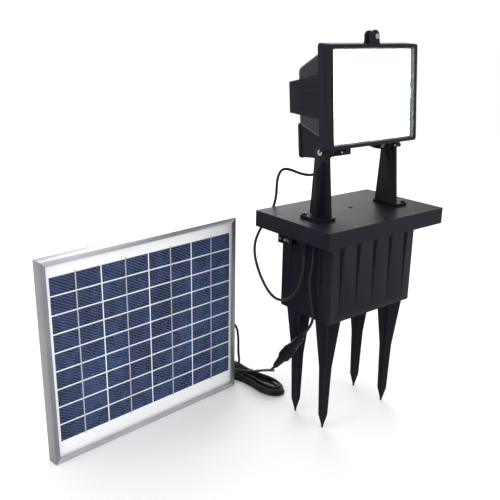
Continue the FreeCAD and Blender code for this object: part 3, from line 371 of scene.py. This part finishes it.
def hank_turns():
    """Bow-tie turns about the tied waist: along = L cos t and across = sin t (w + A |cos t|), wound from
    the top layer to the bottom one. The length L, waist w, fan A and twist change with each turn."""
    turn = np.arange(0, 7.3, 1 / 14)
    layer = np.arange(9)
    waist = np.interp(turn, layer, (4.5, 2.4, 7.2, 2.4, 7.2, 2.4, 7.2, 7.2, 7.2))
    fan = np.interp(turn, layer, (24, 26, 27, 25, 31, 25, 24, 26, 26))
    reach = np.interp(turn, layer, (64, 75, 79, 68, 81, 71, 78, 82, 82))
    height = np.interp(turn, layer, (17.4, 15.2, 12.4, 11, 8, 6.6, 3.2, 2.4, 2.4))
    twist = np.interp(turn, layer, (0.12, -0.09, 0.08, -0.11, 0.03, 0.1, -0.08, 0.04, 0))
    t = 2 * np.pi * turn - 1.3
    along, across = reach * np.cos(t), np.sin(t) * (waist + fan * np.abs(np.cos(t)))
    droop = np.maximum(height - 2.4, 0) * 0.3 * np.cos(t) ** 2
    lean = HANK_LEAN + twist
    x = HANK_MIDDLE[0] + across * np.cos(lean) + along * np.sin(lean)
    y = HANK_MIDDLE[1] + along * np.cos(lean) - across * np.sin(lean)
    return [tuple(point) for point in np.stack((x, y, height - droop), axis=1)]


def lay_lead(name, points):
    """A round lead: one smooth spline through the listed route."""
    curve = bpy.data.curves.new(name, "CURVE")
    curve.dimensions, curve.bevel_depth, curve.bevel_resolution, curve.use_fill_caps = "3D", LEAD / 2, 5, True
    spline = curve.splines.new("NURBS")
    spline.points.add(len(points) - 1)
    for knot, point in zip(spline.points, from_box(points)):
        knot.co = (*point, 1)
    spline.order_u, spline.use_endpoint_u, spline.resolution_u = 3, True, 8
    lead = bpy.data.objects.new(name, curve)
    bpy.context.scene.collection.objects.link(lead)
    curve.materials.append(jacket_black)
    return lead


def curve_points(lead):
    """The smooth line that a lead's spline gives, with its bevel left off for the reading."""
    bare = lead.copy()
    bare.data = lead.data.copy()
    bare.data.bevel_depth = 0
    line = bpy.data.meshes.new_from_object(bare)
    points = np.empty(len(line.vertices) * 3)
    line.vertices.foreach_get("co", points)
    bpy.data.objects.remove(bare)
    return points.reshape(-1, 3)


def line_length(points):
    return float(np.linalg.norm(np.diff(points, axis=0), axis=1).sum())


def as_mesh(lead):
    """The lead as a mesh, in place of its curve."""
    solid = bpy.data.objects.new(lead.name + "_tube", bpy.data.meshes.new_from_object(lead))
    bpy.context.scene.collection.objects.link(solid)
    bpy.data.objects.remove(lead)
    return solid


def lay_leads():
    lamp_curve = lay_lead("lamp_flex", LAMP_ROUTE)
    lamp_line = curve_points(lamp_curve)
    lamp_flex = as_mesh(lamp_curve)
    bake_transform(lamp_flex)
    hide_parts("lamp_lead")
    box_flex = lay_lead("box_flex", BOX_ROUTE)
    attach(box_flex, "base")
    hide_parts("box_lead")
    line_length(curve_points(box_flex))
    panel_flex = lay_lead("panel_flex", DROP_ROUTE + hank_turns() + HANK_OUT + PANEL_ROUTE)
    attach(panel_flex, "base")
    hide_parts("drop_lead", "lead_hank", "panel_lead")
    line_length(curve_points(panel_flex))


def surface(name, grid, material, node=None, closed_v=False):
    """A mesh on the base from a grid of points, shape (rows, columns, 3): quads between neighbours, columns
    closed on themselves, rows too when closed_v, and flat caps on the two ends of an open run of rows."""
    rows, columns = grid.shape[:2]
    index = np.arange(rows * columns).reshape(rows, columns)
    down = np.vstack((index, index[:1])) if closed_v else index
    across = np.hstack((down, down[:, :1]))
    quads = np.stack((across[:-1, :-1], across[:-1, 1:], across[1:, 1:], across[1:, :-1]), axis=-1)
    faces = quads.reshape(-1, 4).tolist()
    if not closed_v:
        faces += [index[0, ::-1].tolist(), index[-1].tolist()]
    mesh = bpy.data.meshes.new(name)
    mesh.from_pydata(grid.reshape(-1, 3).tolist(), [], faces)
    shaped = bmesh.new()
    shaped.from_mesh(mesh)
    bmesh.ops.recalc_face_normals(shaped, faces=shaped.faces)
    shaped.to_mesh(mesh)
    shaped.free()
    mesh.materials.append(material)
    made = bpy.data.objects.new(name, mesh)
    bpy.context.scene.collection.objects.link(made)
    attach(made, "base")
    if node:
        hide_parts(node)
    return made


def make_tie():
    """A strap round the hank's waist: a squared ring, |x/a|^3 + |z/b|^3 = 1, swept through a flat band, with
    a free tail that runs out along the ground as a flat strip with a slight wave."""
    turn = np.linspace(0, 2 * np.pi, 65)[:-1]
    wide, high = 12.6, 10.4
    ring_x = wide * np.sign(np.cos(turn)) * np.abs(np.cos(turn)) ** (2 / 3)
    ring_z = high * np.sign(np.sin(turn)) * np.abs(np.sin(turn)) ** (2 / 3)
    section = ((-2.2, 0), (2.2, 0), (2.5, 0.3), (2.2, 0.7), (-2.2, 0.7), (-2.5, 0.3))
    rings = [np.stack((HANK_MIDDLE[0] + ring_x * (1 + (outward - 0.7) / wide),
                       np.full_like(turn, 160) + along,
                       high + 0.2 + ring_z * (1 + (outward - 0.7) / high)), axis=1)
             for along, outward in section]
    band = surface("hank_strap", np.array(BOX_MIDDLE) + np.array(rings) / 1000, fitting_black, "hank_tie",
                   closed_v=True)
    run = np.linspace(0, 1, 24)
    middle = np.stack((-59 + 34 * run, 157 - 17 * run, 15.4 + 1.1 * np.sin(5 * run)), axis=1)
    side, up = np.array((0.45, 0.9, 0)), np.array((0, 0, 1))
    corners = ((-1.9, -0.9), (1.9, -0.9), (2.2, 0), (1.9, 0.9), (-1.9, 0.9), (-2.2, 0))
    strip = np.stack([middle + side * across + up * rise for across, rise in corners], axis=1)
    tail = surface("hank_strap_tail", np.array(BOX_MIDDLE) + strip / 1000, fitting_black)
    return band, tail


tie = make_tie()
lay_leads()


# ------------------------------------------------------------------------------------- eased solid pieces
EASE_ANGLE, EASE_SEGMENTS = math.radians(32), 2
WELD, FLATNESS = 2e-6, math.radians(1)


def eased(node, width, flat):
    """The CAD solid with its sharp corners rounded as a mould or a rail really has them."""
    mesh = frame["nodes"][node].data.copy()
    work = bmesh.new()
    work.from_mesh(mesh)
    bmesh.ops.remove_doubles(work, verts=work.verts, dist=WELD)
    bmesh.ops.dissolve_limit(work, angle_limit=FLATNESS, verts=work.verts, edges=work.edges)
    work.to_mesh(mesh)
    work.free()
    if flat:
        mesh.shade_flat()
    else:
        mesh.shade_smooth()
    solid = bpy.data.objects.new(node + "_eased", mesh)
    bpy.context.scene.collection.objects.link(solid)
    bevel = solid.modifiers.new("ease", "BEVEL")
    bevel.width, bevel.segments, bevel.limit_method = width, EASE_SEGMENTS, "ANGLE"
    bevel.angle_limit, bevel.use_clamp_overlap, bevel.harden_normals = EASE_ANGLE, True, not flat
    finished = bpy.data.meshes.new_from_object(solid.evaluated_get(bpy.context.evaluated_depsgraph_get()))
    solid.modifiers.clear()
    solid.data = finished
    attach(solid, next(body for body, nodes in frame["record"]["behaviour"]["bodies"].items()
                        if node in nodes))
    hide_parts(node)


EASED = {"lid": 0.0009, "battery_tub": 0.0007, "upright_left": 0.0007, "upright_right": 0.0007,
         "front_frame": 0.0006, "stake_front_left": 0.0006, "stake_front_right": 0.0006,
         "stake_back_left": 0.0006, "stake_back_right": 0.0006, "switch_housing": 0.0005,
         "panel_rail_bottom": 0.0003, "panel_rail_top": 0.0003, "panel_rail_left": 0.0003,
         "panel_rail_right": 0.0003}
for node, width in EASED.items():
    eased(node, width, node == "lid")


# ---------------------------------------------------------------------------------------- floor and light
# name, place, diameter in metres, power in watts
SOFTBOXES = (("back", (1.3, 1.9, 1.25), 1.8, 20), ("side", (-2.4, 0.3, 1.5), 1.6, 16),
             ("front", (0.6, -2.6, 1.6), 1.8, 10))
AIM = Vector((0, 0, 0.3))
FLOOR_REACH, FLOOR_TONE, SKY_STRENGTH = 30, 0.93, 1.08


def studio():
    """A white floor and sky with three soft area lights."""
    bpy.context.scene.view_settings.view_transform = "Standard"
    floor_mesh = bpy.data.meshes.new("floor")
    floor_mesh.from_pydata([(FLOOR_REACH * x, FLOOR_REACH * y, 0)
                            for x, y in ((-1, -1), (1, -1), (1, 1), (-1, 1))], [], [(0, 1, 2, 3)])
    floor = bpy.data.objects.new("floor", floor_mesh)
    bpy.context.scene.collection.objects.link(floor)
    finish = Finish("floor_white", Base_Color=(FLOOR_TONE, FLOOR_TONE, FLOOR_TONE, 1), Roughness=0.7)
    floor_mesh.materials.append(finish.material)
    world = bpy.data.worlds.new("studio_sky")
    bpy.context.scene.world = world
    world.use_nodes = True
    sky = next(n for n in world.node_tree.nodes if n.type == "BACKGROUND")
    sky.inputs["Color"].default_value = (1, 1, 1, 1)
    sky.inputs["Strength"].default_value = SKY_STRENGTH
    for name, place, size, power in SOFTBOXES:
        lamp = bpy.data.lights.new(name + "_softbox", "AREA")
        lamp.shape, lamp.size, lamp.energy = "DISK", size, power
        thing = bpy.data.objects.new(name + "_softbox", lamp)
        thing.location = place
        thing.rotation_euler = (Vector(place) - AIM).to_track_quat("Z", "Y").to_euler()
        bpy.context.scene.collection.objects.link(thing)


studio()
